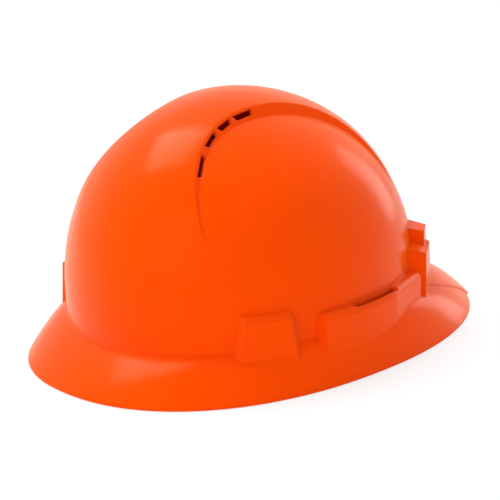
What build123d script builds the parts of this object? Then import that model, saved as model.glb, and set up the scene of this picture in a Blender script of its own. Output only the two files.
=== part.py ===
from build123d import *
from math import asin, atan, atan2, cos, degrees, hypot, pi, radians, sin, sqrt, tan
import os

# Full brim safety helmet with a ratchet suspension, in millimetres.
# X points to the wearer's left, the front is at -Y and Z is up. The origin lies
# under the middle of the brim, on the plane that the brim's edge stands on.
# Azimuths are degrees from the front towards the wearer's left.

# Brim: a bell of squarish rings, from its root inside the dome to its edge
brim_half_width = 118.0
brim_half_length = 158.5
brim_rise = 29.65
brim_root_half_width = 103.0
brim_root_half_length = 101.1
brim_root_y = -1.9
brim_skirt_share = 0.3
brim_fullness = 2.21
brim_arch_share = 0.92
brim_ring_shares = [0.0, 0.12, 0.3, 0.5, 0.7, 0.86, 1.0]
ring_points = 32

# Dome: an egg with elliptical rings that leans to the front
dome_half_width = 104.1
dome_half_length = 120.3
dome_y = -8.3
dome_base_z = 26.8
crown_z = 163.0
crown_y = -15.5
dome_rise_power = 2.59
dome_round_power = 1.89
dome_rings = 9
search_limit = 0.000001

# Wall of the moulding
wall = 2.5
brim_wall = 2.0
dome_foot_z = 10.0
brim_edge_fillet = 0.8
overrun = 10.0

# Crest: a low band over the crown with sloping sides, half widths at crown level
crest_step = 6.5
crest_tuck = 1.4
crest_draft = 26.5
crest_foot_z = 60.0
crest_head_z = 170.0
crest_stations = [-159.0, -92.0, -62.0, -15.0, 34.0, 90.0, 159.0]
crest_half_widths = [31.0, 27.0, 23.2, 26.0, 28.0, 31.5, 36.0]

# Vents in the crest's sloping sides, listed from the crown to the front
vent_rear_y = [-22.0, -40.3, -55.0, -71.5]
vent_front_y = [-37.5, -52.0, -66.5, -82.0]
vent_height = 3.4
vent_drop = 3.3
vent_slant = 2.0
vent_reach = 6.0

# Key pockets, swellings of the wall that the suspension keys plug into
front_pocket_azimuth = 54.5
front_pocket_depth = 6.2
front_pocket_top_z = 50.0
rear_pocket_azimuth = 136.0
rear_pocket_depth = 8.6
rear_pocket_top_z = 57.0
pocket_top_width = 31.0
pocket_foot_width = 46.0
pocket_foot_z = 12.0
pocket_draft = 22.0
pocket_wall = 2.2
lug_width = 17.0
lug_top_z = 65.5
lug_foot_z = 40.0
lug_depth = 6.0
lug_draft = 12.0
lug_shift = 8.0

# Accessory slot housings, one over each ear
slot_housing_start = 72.0
slot_housing_crease = 106.0
slot_housing_end = 127.5
slot_housing_depth = 7.4
slot_housing_top_z = 44.0
slot_housing_bevel = 2.6
slot_housing_lean_share = 1 / 3
slot_housing_foot_z = 14.0
slot_housing_wall = 2.2
slot_start = 86.7
slot_end = 108.5
slot_inner = 0.35
slot_outer = 5.1

# Bare panel, a low plateau on the rear of the brim
panel_height = 0.7
panel_side = [(84.0, 70.0), (82.0, 91.0), (74.0, 114.0), (58.0, 150.0), (54.0, 175.0)]

# Clearances
soft_gap = 0.3
slide_gap = 0.1
fit_gap = 0.05

# Suspension keys
tab_width = 20.0
tab_thickness = 3.0
tab_top_z = 43.0
shelf_z = 22.5
shelf_thickness = 3.0
bar_z = 36.0
bar_radius = 1.5
bar_reach = 14.0
post_thickness = 2.6
post_depth = 6.0
front_bar_depth = 9.0
rear_bar_depth = 6.0
hook_z = 25.5
hook_radius = 2.5
hook_head_radius = 4.0
hook_head_thickness = 1.4
hook_block_width = 6.0
hook_block_height = 6.0
front_hook_depth = 17.9
rear_hook_depth = 11.0

# Crown straps and crown pad
strap_width = 20.0
strap_thickness = 1.2
strap_crown_z = 128.0
strap_over = 4.2
loop_radius = 3.0
loop_gap = 0.3
loop_neck = 7.0
crown_pad_radius = 32.0
crown_pad_thickness = 6.0
crown_pad_dome = 76.0
crown_pad_fillet = 2.0

# Headband and brow pad
band_half_width = 84.3
band_half_length = 101.0
band_y = -12.0
band_thickness = 2.0
band_foot_z = 10.0
band_top_z = 42.0
band_ear_y = 10.5
band_ear_tip = 12.0
band_steps = 10
ear_steps = 5
band_slot_length = 14.0
band_slot_height = 4.0
band_slot_z = 36.5
band_slot_azimuths = [-78.0, -66.0, -38.0, -26.0, -13.0, 0.0, 13.0, 26.0, 38.0, 66.0, 78.0]
hook_hole_radius = 2.7
brow_pad_thickness = 5.0
brow_pad_half_angle = 43.0
brow_pad_foot_z = 12.0
brow_pad_top_z = 40.0
brow_pad_fillet = 1.8

# Nape ratchet, round an upright axis behind the middle of the head
nape_y = 10.5
nape_axis_z = 21.0
cover_inner = 75.0
cover_outer = 77.0
inner_rack_inner = 77.4
inner_rack_outer = 79.2
outer_rack_inner = 79.6
outer_rack_outer = 81.4
housing_inner = 81.8
housing_outer = 84.0
housing_half_angle = 28.0
housing_foot_z = 6.0
housing_top_z = 36.0
rack_foot_z = 11.0
rack_top_z = 31.0
rack_end_angle = 50.0
rack_tip_angle = 22.0
window_tip_angle = 10.0
window_end_angle = 20.0
nape_pad_inner = 69.6
nape_pad_half_angle = 26.0
nape_pad_foot_z = 8.0
nape_pad_top_z = 34.0
nape_pad_fillet = 1.8

# Pinion and rack teeth
module = 1.25
pinion_teeth = 10
pressure_angle = 20.0
pinion_addendum = 1.1
pinion_dedendum = 1.65
rack_addendum = 0.75
rack_dedendum = 1.35
backlash = 0.3
window_overrun = 1.0
plain_gap = 0.55
shaft_radius = 3.5
stub_radius = 2.0
drive_square = 4.4

# Knob, click ring and spring
boss_radius = 12.0
boss_rise = 2.0
spigot_radius = 9.9
click_thickness = 2.0
click_radius = 12.2
click_bore_radius = 10.0
click_notches = 24
click_notch_radius = 0.9
click_notch_sink = 0.35
spring_outer_radius = 13.4
spring_thickness = 0.7
spring_nub_radius = 0.6
spring_nubs = 3
spring_height = 1.8
knob_radius = 16.0
knob_cavity_radius = 13.5
knob_cavity_depth = 4.5
knob_length = 9.2
knob_dish_radius = 9.0
knob_dish_depth = 2.0
knob_flutes = 18
knob_flute_radius = 1.3
knob_screw_radius = 1.2
knob_screw_head_radius = 2.6
knob_screw_head = 1.4
knob_screw_length = 9.0
knob_screw_land = 1.0

# Housing screws
screw_radius = 1.0
screw_head_radius = 1.8
screw_head = 1.0
screw_length = 5.4
screw_angle = 22.0
screw_inset_z = 2.7

# Arms and their snap pegs
arm_y = 2.0
arm_tip = 5.0
arm_gap = 2.6
arm_bend_shares = (1.0, 0.75)
arm_swing_gap = 1.1
peg_radius = 2.5
peg_hole_radius = 2.6
peg_boss_radius = 4.2
arm_hole_radius = 3.4
peg_head_radius = 4.2
peg_head_thickness = 1.4

slant = (crown_y - dome_y) / (crown_z - dome_base_z)


def dome_reach(share):
    """Radius of the egg as a share of its base, by height share."""
    return (1 - share**dome_rise_power) ** (1 / dome_round_power)


def dome_solid(inset, drop=0.0):
    """The egg, inset all round; a drop makes the lower dome beside the crest."""
    tuck = 0.0 if drop else crest_tuck
    half_width = dome_half_width - inset - tuck
    half_length = dome_half_length - inset - tuck
    rise = crown_z - dome_base_z - inset - drop
    levels = [(dome_foot_z, 1.0)]
    for ring in range(dome_rings):
        share = sin(pi / 2 * ring / dome_rings)
        levels.append((dome_base_z + rise * share, dome_reach(share)))
    sections = []
    for z, reach in levels:
        center_y = dome_y + slant * (z - dome_base_z)
        points = []
        for i in range(ring_points):
            turn = 2 * pi * i / ring_points
            points.append((half_width * reach * cos(turn), center_y + half_length * reach * sin(turn)))
        with BuildSketch(Plane.XY.offset(z)) as ring_face:
            with BuildLine():
                Spline(*points, periodic=True)
            make_face()
        sections.append(ring_face.sketch.face())
    sections.append(Vertex(0, dome_y + slant * rise, dome_base_z + rise))
    with BuildPart() as dome:
        loft(sections)
    return dome.part


def brim_solid(inset, lift=0.0):
    """The bell of the brim, drawn in by inset and lowered as much."""
    shares = list(brim_ring_shares)
    if inset or lift:
        shares.append(1.0 + brim_skirt_share)
    with BuildPart() as bell:
        for share in reversed(shares):
            z = brim_rise * (1 - share) * (1 + brim_arch_share * share) - inset + lift
            half_width = brim_root_half_width - inset + lift
            half_width += (brim_half_width - brim_root_half_width) * share
            half_length = brim_root_half_length - inset + lift
            half_length += (brim_half_length - brim_root_half_length) * share
            points = []
            for i in range(ring_points):
                turn = 2 * pi * i / ring_points
                power = 2 / brim_fullness
                x = half_width * abs(cos(turn)) ** power * (1 if cos(turn) > 0 else -1)
                y = half_length * abs(sin(turn)) ** power * (1 if sin(turn) > 0 else -1)
                points.append((x, brim_root_y * (1 - share) + y))
            with BuildSketch(Plane.XY.offset(z)):
                with BuildLine():
                    Spline(*points, periodic=True)
                make_face()
        loft()
        if not (inset or lift):
            fillet(bell.edges().group_by(Axis.Z)[0], brim_edge_fillet)
    return bell.part


def crest_spread(z, inset):
    """How much wider the crest is at a height than at crown level."""
    return (crown_z - z) * tan(radians(crest_draft)) - inset / cos(radians(crest_draft))


def crest_band(inset):
    """The crest's outline from above, carried down with its sloping sides."""
    with BuildPart() as band:
        for z in (crest_foot_z, crest_head_z):
            spread = crest_spread(z, inset)
            side = [(x + spread, y) for x, y in zip(crest_half_widths, crest_stations)]
            other = [(-x, y) for x, y in reversed(side)]
            with BuildSketch(Plane.XY.offset(z)):
                with BuildLine():
                    Spline(*side)
                    Line(side[-1], other[0])
                    Spline(*other)
                    Line(other[-1], side[0])
                make_face()
        loft()
    return band.part


with BuildLine() as crest_line:
    Spline(*zip(crest_half_widths, crest_stations))


def crest_edge(y):
    """Where the crest's sloping side meets its top, at a station y."""
    low, high = 0.0, 1.0
    while high - low > search_limit:
        middle = (low + high) / 2
        if (crest_line.line @ middle).Y < y:
            low = middle
        else:
            high = middle
    base_x = (crest_line.line @ low).X
    low, high = dome_base_z, crown_z
    while high - low > search_limit:
        z = (low + high) / 2
        share = (z - dome_base_z) / (crown_z - dome_base_z)
        over = (y - dome_y - slant * (z - dome_base_z)) / (dome_half_length - crest_tuck)
        span = dome_reach(share) ** 2 - over**2
        dome_x = (dome_half_width - crest_tuck) * sqrt(max(span, 0.0))
        if dome_x > base_x + crest_spread(z, 0):
            low = z
        else:
            high = z
    return Vector(base_x + crest_spread(low, 0), y, low)


def wall_out(azimuth):
    """The direction out of the wall at the dome's base ring."""
    across, ahead = sin(radians(azimuth)), -cos(radians(azimuth))
    return Vector(across / dome_half_width**2, ahead / dome_half_length**2, 0).normalized()


def wall_point(azimuth, depth=0.0):
    """A point on the dome's base ring, moved out by depth."""
    across, ahead = sin(radians(azimuth)), -cos(radians(azimuth))
    reach = 1 / hypot(across / dome_half_width, ahead / dome_half_length)
    return Vector(reach * across, dome_y + reach * ahead, 0) + wall_out(azimuth) * depth


def wall_plane(azimuth, depth=0.0):
    """An upright plane on the dome's base ring: x along it, y up, z outward."""
    out = wall_out(azimuth)
    return Plane(origin=wall_point(azimuth, depth), x_dir=Vector(0, 0, 1).cross(out), z_dir=out)


def boss(azimuth, top_width, foot_width, top_z, foot_z, depth, draft, shift, inset):
    """A drafted swelling of the wall, or the hollow inset inside it."""
    spread = overrun * tan(radians(draft)) - inset / cos(radians(draft))
    with BuildPart() as swelling:
        with BuildSketch(wall_plane(azimuth, -overrun)):
            with BuildLine():
                Polyline(
                    (shift - foot_width / 2 - spread, foot_z - spread - 2 * inset),
                    (shift + foot_width / 2 + spread, foot_z - spread - 2 * inset),
                    (shift + top_width / 2 + spread, top_z + spread),
                    (shift - top_width / 2 - spread, top_z + spread),
                    close=True,
                )
            make_face()
        extrude(amount=overrun + depth - inset, taper=draft)
    return swelling.part


def both_sides(part):
    """A solid with its mirror image on the other side of the hat."""
    with BuildPart() as pair:
        add(part)
        mirror(about=Plane.YZ)
    return pair.part


def slot_housing(inset):
    """The long swelling over the ear, or the hollow inset inside it."""
    margin = degrees(inset / dome_half_width)
    start, end = slot_housing_start + margin, slot_housing_end - margin
    inner = 0.0 if inset else -wall / 2
    top_z = slot_housing_top_z - inset
    foot_z = -overrun if inset else slot_housing_foot_z
    bevel = slot_housing_bevel
    levels = [(foot_z, 0.0), (top_z - bevel, 0.0), (top_z, bevel)]
    steps = 4
    parts = []
    for (low_z, low_in), (high_z, high_in) in zip(levels, levels[1:]):
        with BuildPart() as layer:
            for z, draw_in in ((low_z, low_in), (high_z, high_in)):
                depth = slot_housing_depth - inset - draw_in
                ends = degrees(draw_in / dome_half_width)
                first, last = start + ends, end - ends
                reach = slot_housing_crease - first
                face = [wall_point(first + reach * i / steps, depth) for i in range(1, steps + 1)]
                lean = degrees(depth * slot_housing_lean_share / dome_half_width)
                face[0] = wall_point(first + lean, depth)
                back = [wall_point(first + (last - first) * i / steps, inner) for i in range(steps + 1)]
                with BuildSketch(Plane.XY.offset(z)):
                    with BuildLine():
                        Spline(*[(p.X, p.Y) for p in face])
                        corner = wall_point(last - lean, depth)
                        Line((face[-1].X, face[-1].Y), (corner.X, corner.Y))
                        Line((corner.X, corner.Y), (back[-1].X, back[-1].Y))
                        Spline(*[(p.X, p.Y) for p in reversed(back)])
                        Line((back[0].X, back[0].Y), (face[0].X, face[0].Y))
                    make_face()
            loft()
        parts.append(layer.part)
    with BuildPart() as housing:
        for part in parts:
            add(part)
    return housing.part


def vent_cut(rear_y, front_y):
    """A slot through the crest's sloping side, just under its edge."""
    rear = crest_edge(rear_y)
    front = crest_edge(front_y)
    along = (front - rear).normalized()
    tilt = radians(crest_draft)
    out = Vector(cos(tilt), 0, sin(tilt))
    down = out.cross(along).normalized()
    middle = (rear + front) / 2 + down * vent_drop
    half_length = (front - rear).length / 2
    half_height = vent_height / 2
    with BuildPart() as cut:
        with BuildSketch(Plane(origin=middle, x_dir=along, z_dir=along.cross(down))):
            with BuildLine():
                Polyline(
                    (-half_length, -half_height),
                    (half_length, -half_height),
                    (half_length - vent_slant, half_height),
                    (vent_slant / 2 - half_length, half_height),
                    close=True,
                )
            make_face()
        extrude(amount=vent_reach, both=True)
    return cut.part


# Shell

widths = (pocket_top_width, pocket_foot_width)
front_levels = (front_pocket_top_z, pocket_foot_z, front_pocket_depth)
rear_levels = (rear_pocket_top_z, pocket_foot_z, rear_pocket_depth)
lug_levels = (lug_top_z, lug_foot_z, lug_depth)
swellings = [
    (front_pocket_azimuth, *widths, *front_levels, pocket_draft, 0.0),
    (rear_pocket_azimuth, *widths, *rear_levels, pocket_draft, 0.0),
    (rear_pocket_azimuth, lug_width, lug_width, *lug_levels, lug_draft, lug_shift),
]

with BuildPart() as hollow:
    add(dome_solid(wall))
    add(crest_band(wall), mode=Mode.INTERSECT)
    add(dome_solid(wall, crest_step))
    add(brim_solid(brim_wall))
    for swelling in swellings:
        add(both_sides(boss(*swelling, pocket_wall)))
    add(both_sides(slot_housing(slot_housing_wall)))

with BuildPart() as plateau:
    add(brim_solid(0.0, panel_height))
    with BuildSketch():
        with BuildLine():
            Polyline(*panel_side, *[(-x, y) for x, y in reversed(panel_side)], close=True)
        make_face()
    extrude(amount=slot_housing_top_z, mode=Mode.INTERSECT)

with BuildPart() as slot_cut:
    span = slot_end - slot_start
    with BuildSketch(Plane.XY.offset(slot_housing_top_z / 2)):
        with BuildLine():
            near = [wall_point(slot_start + span * i / 4, slot_inner) for i in range(5)]
            far = [wall_point(slot_start + span * i / 4, slot_outer) for i in range(5)]
            Spline(*[(p.X, p.Y) for p in near])
            Line((near[-1].X, near[-1].Y), (far[-1].X, far[-1].Y))
            Spline(*[(p.X, p.Y) for p in reversed(far)])
            Line((far[0].X, far[0].Y), (near[0].X, near[0].Y))
        make_face()
    extrude(amount=slot_housing_top_z)

with BuildPart() as shell:
    add(dome_solid(0.0))
    add(crest_band(0.0), mode=Mode.INTERSECT)
    add(dome_solid(0.0, crest_step))
    add(brim_solid(0.0))
    add(plateau.part)
    for swelling in swellings:
        add(both_sides(boss(*swelling, 0.0)))
    add(both_sides(slot_housing(0.0)))
    add(hollow.part, mode=Mode.SUBTRACT)
    add(both_sides(slot_cut.part), mode=Mode.SUBTRACT)
    for rear_y, front_y in zip(vent_rear_y, vent_front_y):
        add(both_sides(vent_cut(rear_y, front_y)), mode=Mode.SUBTRACT)


# Suspension: crown straps, keys and crown pad

front_bar = wall_point(front_pocket_azimuth, -front_bar_depth)
rear_bar = wall_point(rear_pocket_azimuth, -rear_bar_depth)
strap_ends = (front_bar, Vector(-rear_bar.X, rear_bar.Y, 0))
strap_along = (strap_ends[1] - strap_ends[0]).normalized()
strap_middle = (strap_ends[0] + strap_ends[1]) / 2 + Vector(0, 0, bar_z)
strap_half_span = (strap_ends[1] - strap_ends[0]).length / 2
strap_plane = Plane(origin=strap_middle, x_dir=strap_along, z_dir=strap_along.cross(Vector(0, 0, 1)))


def crown_strap(crown):
    """A webbing strap: an arch with a sewn loop round a bar at each end."""
    rise = crown - bar_z
    half = strap_thickness / 2
    with BuildPart() as strap:
        with BuildSketch(strap_plane):
            Ellipse(strap_half_span + half, rise + half)
            Ellipse(strap_half_span - half, rise - half, mode=Mode.SUBTRACT)
            with Locations((0, rise / 2 + loop_neck)):
                Rectangle(3 * strap_half_span, rise, mode=Mode.INTERSECT)
            for side in (-1, 1):
                neck_x = strap_half_span * sqrt(1 - (loop_neck / rise) ** 2)
                with BuildSketch(mode=Mode.PRIVATE) as loop:
                    with Locations((side * strap_half_span, 0)):
                        Circle(loop_radius)
                    with Locations((side * neck_x, loop_neck)):
                        Rectangle(strap_thickness, strap_thickness)
                    make_hull()
                add(loop.sketch)
                with Locations((side * strap_half_span, 0)):
                    Circle(bar_radius + loop_gap, mode=Mode.SUBTRACT)
        extrude(amount=strap_width / 2, both=True)
    return strap.part


def key(azimuth, depth, bar_depth, hook_depth, bar_end):
    """A key: tab in its pocket, shelf, two posts with a bar, and a hook."""
    seat = hook_depth - band_thickness / 2 - soft_gap
    tab_face = depth - pocket_wall - soft_gap
    toward = (bar_end - Vector(strap_middle.X, strap_middle.Y, 0)).normalized()
    across = Vector(0, 0, 1).cross(toward)
    bar_point = wall_point(azimuth, -bar_depth)
    bar_plane = Plane(origin=bar_point, x_dir=toward, z_dir=across * -1)
    flat = Plane(origin=wall_point(azimuth), x_dir=wall_plane(azimuth).x_dir, z_dir=(0, 0, 1))
    head_start = hook_depth + band_thickness / 2 + 2 * soft_gap
    with BuildPart() as body:
        with BuildSketch(wall_plane(azimuth, tab_face)):
            with Locations((0, (shelf_z + tab_top_z) / 2)):
                RectangleRounded(tab_width, tab_top_z - shelf_z, tab_thickness / 2)
        extrude(amount=-tab_thickness)
        with BuildSketch(flat.offset(shelf_z)):
            with Locations((0, tab_thickness / 2 - tab_face)):
                Rectangle(tab_width, tab_thickness)
            turn = degrees(atan2(flat.x_dir.cross(across).Z, flat.x_dir.dot(across)))
            with Locations(Location((0, bar_depth), turn)):
                Rectangle(2 * bar_reach, post_depth)
            make_hull()
        extrude(amount=shelf_thickness)
        with BuildSketch(bar_plane):
            with Locations((0, (shelf_z + bar_z) / 2)):
                Rectangle(post_depth, bar_z - shelf_z)
            with Locations((0, bar_z)):
                Circle(post_depth / 2)
        extrude(amount=bar_reach, both=True)
        with BuildSketch(bar_plane):
            with Locations((0, shelf_z + shelf_thickness + overrun)):
                Rectangle(2 * post_depth, 2 * overrun)
        extrude(amount=bar_reach - post_thickness, both=True, mode=Mode.SUBTRACT)
        with BuildSketch(bar_plane):
            with Locations((0, bar_z)):
                Circle(bar_radius)
        extrude(amount=bar_reach - post_thickness / 2, both=True)
        with BuildSketch(wall_plane(azimuth, -seat)):
            with Locations((0, hook_z)):
                Rectangle(hook_block_width, hook_block_height)
        extrude(amount=seat - bar_depth)
        with BuildSketch(wall_plane(azimuth, -head_start)):
            with Locations((0, hook_z)):
                Circle(hook_radius)
        extrude(amount=head_start - seat)
        with BuildSketch(wall_plane(azimuth, -head_start)):
            with Locations((0, hook_z)):
                Circle(hook_head_radius)
        extrude(amount=-hook_head_thickness)
    return body.part


with BuildPart() as front_left_key:
    add(key(front_pocket_azimuth, front_pocket_depth, front_bar_depth, front_hook_depth, front_bar))

with BuildPart() as front_right_key:
    add(front_left_key.part.mirror(Plane.YZ))

with BuildPart() as rear_right_key:
    rear_end = Vector(-rear_bar.X, rear_bar.Y, 0)
    add(key(-rear_pocket_azimuth, rear_pocket_depth, rear_bar_depth, rear_hook_depth, rear_end))

with BuildPart() as rear_left_key:
    add(rear_right_key.part.mirror(Plane.YZ))

with BuildPart() as crown_strap_a:
    add(crown_strap(strap_crown_z))

with BuildPart() as crown_strap_b:
    add(crown_strap(strap_crown_z + strap_over).mirror(Plane.YZ))

crossing_run = strap_middle.X / abs(strap_along.X)
crossing_y = strap_middle.Y + crossing_run * strap_along.Y
pad_top_z = strap_crown_z - strap_thickness / 2 - 2 * soft_gap

with BuildPart() as crown_pad:
    with BuildSketch(Plane(origin=(0, crossing_y, 0), x_dir=(1, 0, 0), z_dir=(0, -1, 0))) as pad_half:
        with BuildLine():
            sink = crown_pad_dome - sqrt(crown_pad_dome**2 - crown_pad_radius**2)
            rim_z = pad_top_z - sink
            Line((0, pad_top_z - crown_pad_thickness), (0, pad_top_z))
            RadiusArc((0, pad_top_z), (crown_pad_radius, rim_z), crown_pad_dome)
            Line((crown_pad_radius, rim_z), (crown_pad_radius, rim_z - crown_pad_thickness))
            low_rim = (crown_pad_radius, rim_z - crown_pad_thickness)
            RadiusArc(low_rim, (0, pad_top_z - crown_pad_thickness), -crown_pad_dome)
        make_face()
    revolve(axis=Axis((0, crossing_y, 0), (0, 0, 1)))
    fillet(crown_pad.edges().filter_by(GeomType.CIRCLE), crown_pad_fillet)


# Headband and brow pad

def band_out(azimuth):
    """The direction out of the headband."""
    turn = radians(azimuth - 90)
    return Vector(cos(turn) / band_half_width, sin(turn) / band_half_length, 0).normalized()


def band_point(azimuth, draw_in=0.0):
    """A point on the headband's middle line, moved inwards."""
    turn = radians(azimuth - 90)
    middle = Vector(band_half_width * cos(turn), band_y + band_half_length * sin(turn), 0)
    return middle - band_out(azimuth) * draw_in


rear_hook = wall_point(rear_pocket_azimuth, -rear_hook_depth)
rear_out = wall_out(rear_pocket_azimuth)
rear_along = Vector(-rear_out.Y, rear_out.X, 0)
ear_turn = degrees(asin((band_ear_y - band_y) / band_half_length))
ear_start = band_point(90 + ear_turn)
ear_out = band_out(90 + ear_turn)
ear_end = rear_hook + rear_along * band_ear_tip
rack_thickness = outer_rack_outer - outer_rack_inner
arm_x = ear_start.X - band_thickness / 2 - arm_gap - rack_thickness / 2

with BuildLine() as ear_line:
    ear_bend = [(p.X, p.Y) for p in (ear_start, rear_hook, ear_end)]
    Spline(*ear_bend, tangents=[(-ear_out.Y, ear_out.X), (rear_along.X, rear_along.Y)])


def band_side(shift):
    """Points along one face of the headband, from the right ear round the front."""
    turns = [(90 + ear_turn) * (i / band_steps - 1) for i in range(2 * band_steps + 1)]
    around = [(p.X, p.Y) for p in [band_point(turn, -shift) for turn in turns]]
    ear = []
    for i in range(1, ear_steps + 1):
        spot, way = ear_line.line @ (i / ear_steps), ear_line.line % (i / ear_steps)
        ear.append((spot.X + way.Y * shift, spot.Y - way.X * shift))
    return [(-x, y) for x, y in reversed(ear)] + around + ear


with BuildPart() as headband:
    outside, inside = band_side(band_thickness / 2), band_side(-band_thickness / 2)
    with BuildSketch(Plane.XY.offset(band_foot_z)):
        with BuildLine():
            Spline(*outside)
            Line(outside[-1], inside[-1])
            Spline(*reversed(inside))
            Line(inside[0], outside[0])
        make_face()
    extrude(amount=band_top_z - band_foot_z)
    for azimuth in band_slot_azimuths:
        out = band_out(azimuth)
        face = Plane(origin=band_point(azimuth), x_dir=Vector(0, 0, 1).cross(out), z_dir=out)
        with BuildSketch(face):
            with Locations((0, band_slot_z)):
                SlotOverall(band_slot_length, band_slot_height)
        extrude(amount=band_thickness, both=True, mode=Mode.SUBTRACT)
    for azimuth, depth in ((front_pocket_azimuth, front_hook_depth), (rear_pocket_azimuth, rear_hook_depth)):
        for side in (-1, 1):
            with BuildSketch(wall_plane(side * azimuth, -depth)):
                with Locations((0, hook_z)):
                    Circle(hook_hole_radius)
            extrude(amount=2 * band_thickness, both=True, mode=Mode.SUBTRACT)
    boss_x = arm_x + arm_swing_gap + rack_thickness / 2
    for side in (-1, 1):
        with BuildSketch(Plane.YZ.offset(side * boss_x)):
            with Locations((arm_y, nape_axis_z)):
                Circle(peg_boss_radius)
        extrude(amount=side * (arm_gap - arm_swing_gap + band_thickness / 2))
    with BuildSketch(Plane.YZ):
        with Locations((arm_y, nape_axis_z)):
            Circle(peg_hole_radius)
    extrude(amount=dome_half_width, both=True, mode=Mode.SUBTRACT)

with BuildPart() as brow_pad:
    with BuildSketch(Plane.XY.offset(brow_pad_foot_z)):
        with BuildLine():
            outer_in = band_thickness / 2 + soft_gap
            inner_in = outer_in + brow_pad_thickness
            turns = [brow_pad_half_angle * (i / 4 - 1) for i in range(9)]
            outer_line = [band_point(turn, outer_in) for turn in turns]
            inner_line = [band_point(turn, inner_in) for turn in turns]
            Spline(*[(p.X, p.Y) for p in outer_line])
            Line((outer_line[-1].X, outer_line[-1].Y), (inner_line[-1].X, inner_line[-1].Y))
            Spline(*[(p.X, p.Y) for p in reversed(inner_line)])
            Line((inner_line[0].X, inner_line[0].Y), (outer_line[0].X, outer_line[0].Y))
        make_face()
    extrude(amount=brow_pad_top_z - brow_pad_foot_z)
    fillet(brow_pad.edges(), brow_pad_fillet)


# Nape ratchet

def nape_point(radius, angle):
    """A point round the nape's upright axis, angle from the rear to the left."""
    return Vector(radius * sin(radians(angle)), nape_y + radius * cos(radians(angle)), 0)


def nape_plane(angle, radius=0.0):
    """An upright plane facing out from the nape's axis."""
    out = Vector(sin(radians(angle)), cos(radians(angle)), 0)
    return Plane(origin=nape_point(radius, angle), x_dir=Vector(0, 0, 1).cross(out), z_dir=out)


def nape_strip(inner, outer, start, end, foot_z, top_z):
    """An upright curved strip between two radii and two angles."""
    with BuildPart() as strip:
        with BuildSketch(Plane.XY.offset(foot_z)):
            with BuildLine():
                CenterArc((0, nape_y), outer, 90 - end, end - start)
                CenterArc((0, nape_y), inner, 90 - end, end - start)
                for angle in (start, end):
                    near, far = nape_point(inner, angle), nape_point(outer, angle)
                    Line((near.X, near.Y), (far.X, far.Y))
            make_face()
        extrude(amount=top_z - foot_z)
    return strip.part


half_angle = housing_half_angle
flange_inner = cover_outer + soft_gap
screw_levels = (housing_foot_z + screw_inset_z, housing_top_z - screw_inset_z)
wall_rear_y = nape_y + housing_outer
boss_y = wall_rear_y + boss_rise
knob_y = wall_rear_y + soft_gap

with BuildPart() as ratchet_housing:
    add(nape_strip(housing_inner, housing_outer, -half_angle, half_angle, housing_foot_z, housing_top_z))
    foot_rail = (housing_foot_z, rack_foot_z - slide_gap)
    head_rail = (rack_top_z + slide_gap, housing_top_z)
    add(nape_strip(flange_inner, housing_inner, -half_angle, half_angle, *foot_rail))
    add(nape_strip(flange_inner, housing_inner, -half_angle, half_angle, *head_rail))
    with BuildSketch(Plane.XZ.offset(-boss_y)):
        with Locations((0, nape_axis_z)):
            Circle(boss_radius)
    extrude(until=Until.NEXT)
    with BuildSketch(Plane.XZ.offset(-boss_y)):
        with Locations((0, nape_axis_z)):
            Circle(spigot_radius)
    extrude(amount=-click_thickness)
    with BuildSketch(Plane.XZ.offset(-boss_y)):
        with Locations((0, nape_axis_z)):
            Circle(shaft_radius + slide_gap)
    extrude(amount=overrun, both=True, mode=Mode.SUBTRACT)
    for angle in (-screw_angle, screw_angle):
        with BuildSketch(nape_plane(angle, cover_outer)):
            with Locations(*[(0, z) for z in screw_levels]):
                Circle(screw_radius + fit_gap)
        extrude(amount=screw_length, mode=Mode.SUBTRACT)

with BuildPart() as housing_cover:
    add(nape_strip(cover_inner, cover_outer, -half_angle, half_angle, housing_foot_z, housing_top_z))
    with BuildSketch(Plane.XZ.offset(-nape_y - cover_inner)):
        with Locations((0, nape_axis_z)):
            Circle(stub_radius + slide_gap)
    extrude(amount=overrun, both=True, mode=Mode.SUBTRACT)
    for angle in (-screw_angle, screw_angle):
        with BuildSketch(nape_plane(angle, cover_inner - fit_gap)):
            with Locations(*[(0, z) for z in screw_levels]):
                Circle(screw_radius + fit_gap)
        extrude(amount=overrun, mode=Mode.SUBTRACT)
        with BuildSketch(nape_plane(angle, cover_inner + screw_head)):
            with Locations(*[(0, z) for z in screw_levels]):
                Circle(screw_head_radius + fit_gap)
        extrude(amount=-overrun, mode=Mode.SUBTRACT)

with BuildPart() as housing_screws:
    for angle in (-screw_angle, screw_angle):
        with BuildSketch(nape_plane(angle, cover_inner + screw_head)):
            with Locations(*[(0, z) for z in screw_levels]):
                Circle(screw_head_radius)
        extrude(amount=-screw_head)
        with BuildSketch(nape_plane(angle, cover_inner + screw_head)):
            with Locations(*[(0, z) for z in screw_levels]):
                Circle(screw_radius)
        extrude(amount=screw_length)
        with BuildSketch(nape_plane(angle, cover_inner)):
            with Locations(*[(0, z) for z in screw_levels]):
                Rectangle(screw_radius / 2, 2 * screw_radius)
                Rectangle(2 * screw_radius, screw_radius / 2)
        extrude(amount=screw_head / 2, mode=Mode.SUBTRACT)

with BuildPart() as nape_pad:
    add(
        nape_strip(
            nape_pad_inner,
            cover_inner - soft_gap,
            -nape_pad_half_angle,
            nape_pad_half_angle,
            nape_pad_foot_z,
            nape_pad_top_z,
        )
    )
    fillet(nape_pad.edges(), nape_pad_fillet)


# Racks and pinion

pitch_radius = module * pinion_teeth / 2
tooth_pitch = pi * module
pitch_top_z = nape_axis_z + pitch_radius


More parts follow.
